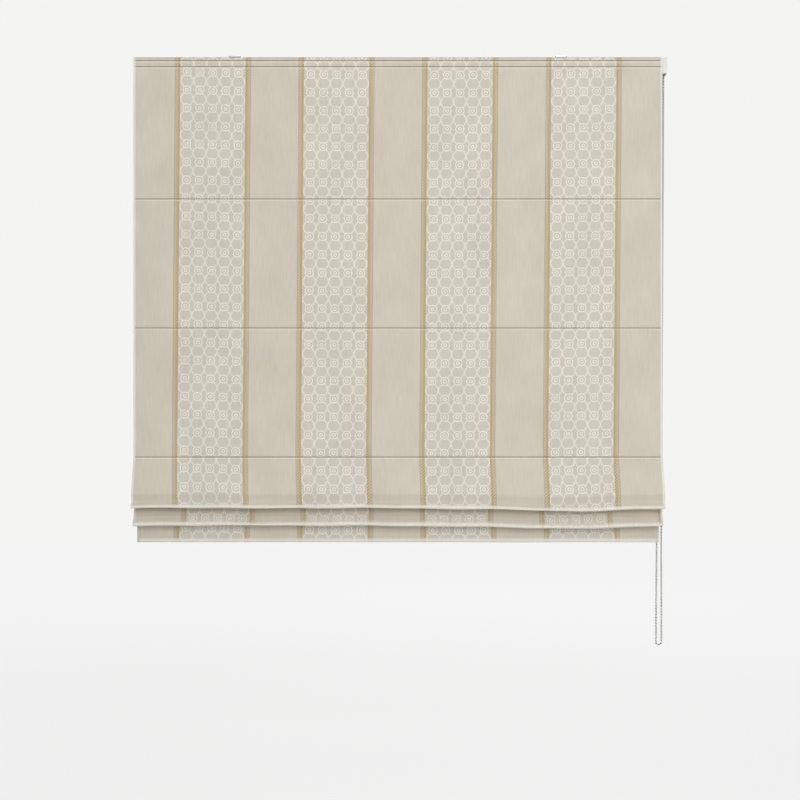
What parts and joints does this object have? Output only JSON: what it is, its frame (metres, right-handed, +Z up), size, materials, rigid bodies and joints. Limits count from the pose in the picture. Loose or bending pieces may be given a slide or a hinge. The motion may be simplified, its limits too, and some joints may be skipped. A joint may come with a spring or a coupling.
{
  "type": "roman blind",
  "caption": "Lined roman blind half raised, its lower part gathered in soft folds under a slim headrail, with a bead-chain drive at the right end.",
  "frame": {"origin": "middle of the four screw holes, in the plane where the brackets meet the lintel", "axes": "+X along the blind to the viewer's right, +Y back from the room to the window, +Z up"},
  "size_m": [1.0801, 0.0854, 1.2002],
  "materials": {
    "face_cloth": "striped woven furnishing cloth, beige with ochre lines",
    "lining_cloth": "plain ivory sateen",
    "pocket_tape": "white woven polyester tape",
    "header_tape": "white hook-and-loop tape",
    "rod_fibre": "white glass-fibre rod",
    "clear_ring": "milky moulded ring",
    "bar_metal": "mill-finish flat bar",
    "rail_paint": "white powder-coated extrusion",
    "shaft_metal": "drawn square bar",
    "white_plastic": "white moulded plastic, satin",
    "brake_fibre": "pressed fibre, dull",
    "bracket_steel": "zinc-plated pressed steel",
    "chain_bead": "nickel-plated steel beads, polished",
    "cord_yarn": "white braided polyester"
  },
  "bodies": {
    "headrail": {"bar_cap_left": "white_plastic", "bar_cap_right": "white_plastic", "bottom_bar": "bar_metal", "bracket_plate_left": "bracket_steel", "bracket_plate_right": "bracket_steel", "brake_washer": "brake_fibre", "chain_connector": "clear_ring", "control_chain": "chain_bead", "control_cover": "white_plastic", "control_housing": "white_plastic", "cord_lock_1": "white_plastic", "cord_lock_2": "white_plastic", "cord_lock_3": "white_plastic", "cord_rings_1": "clear_ring", "cord_rings_2": "clear_ring", "cord_rings_3": "clear_ring", "cord_rings_4": "clear_ring", "cord_rings_5": "clear_ring", "drum_cradle_1": "white_plastic", "drum_cradle_2": "white_plastic", "drum_cradle_3": "white_plastic", "end_cap": "white_plastic", "face_fabric": "face_cloth", "headrail": "rail_paint", "hook_tape": "header_tape", "latch_rivet_left": "bracket_steel", "latch_rivet_right": "bracket_steel", "lift_cord_1": "cord_yarn", "lift_cord_2": "cord_yarn", "lift_cord_3": "cord_yarn", "lining": "lining_cloth", "loop_tape": "header_tape", "rod_1": "rod_fibre", "rod_2": "rod_fibre", "rod_3": "rod_fibre", "rod_4": "rod_fibre", "rod_5": "rod_fibre", "rod_pocket_1": "pocket_tape", "rod_pocket_2": "pocket_tape", "rod_pocket_3": "pocket_tape", "rod_pocket_4": "pocket_tape", "rod_pocket_5": "pocket_tape"},
    "drive": {"drive_shaft": "shaft_metal", "shaft_journal": "white_plastic", "lift_drum_1": "white_plastic", "lift_drum_2": "white_plastic", "lift_drum_3": "white_plastic", "sprocket": "white_plastic"},
    "bracket_latch_left": {"bracket_latch_left": "bracket_steel"},
    "bracket_latch_right": {"bracket_latch_right": "bracket_steel"}
  },
  "joints": [
    {"name": "drive_turn", "type": "hinge", "parent": "headrail", "child": "drive", "pos_m": [0, 0.0019, -0.02], "axis": [1, 0, 0], "continuous": true},
    {"name": "latch_left_swing", "type": "hinge", "parent": "headrail", "child": "bracket_latch_left", "pos_m": [-0.33, 0, -0.004], "axis": [0, 0, -1], "range_deg": [0, 90]},
    {"name": "latch_right_swing", "type": "hinge", "parent": "headrail", "child": "bracket_latch_right", "pos_m": [0.33, 0, -0.004], "axis": [0, 0, 1], "range_deg": [0, 90]}
  ]
}
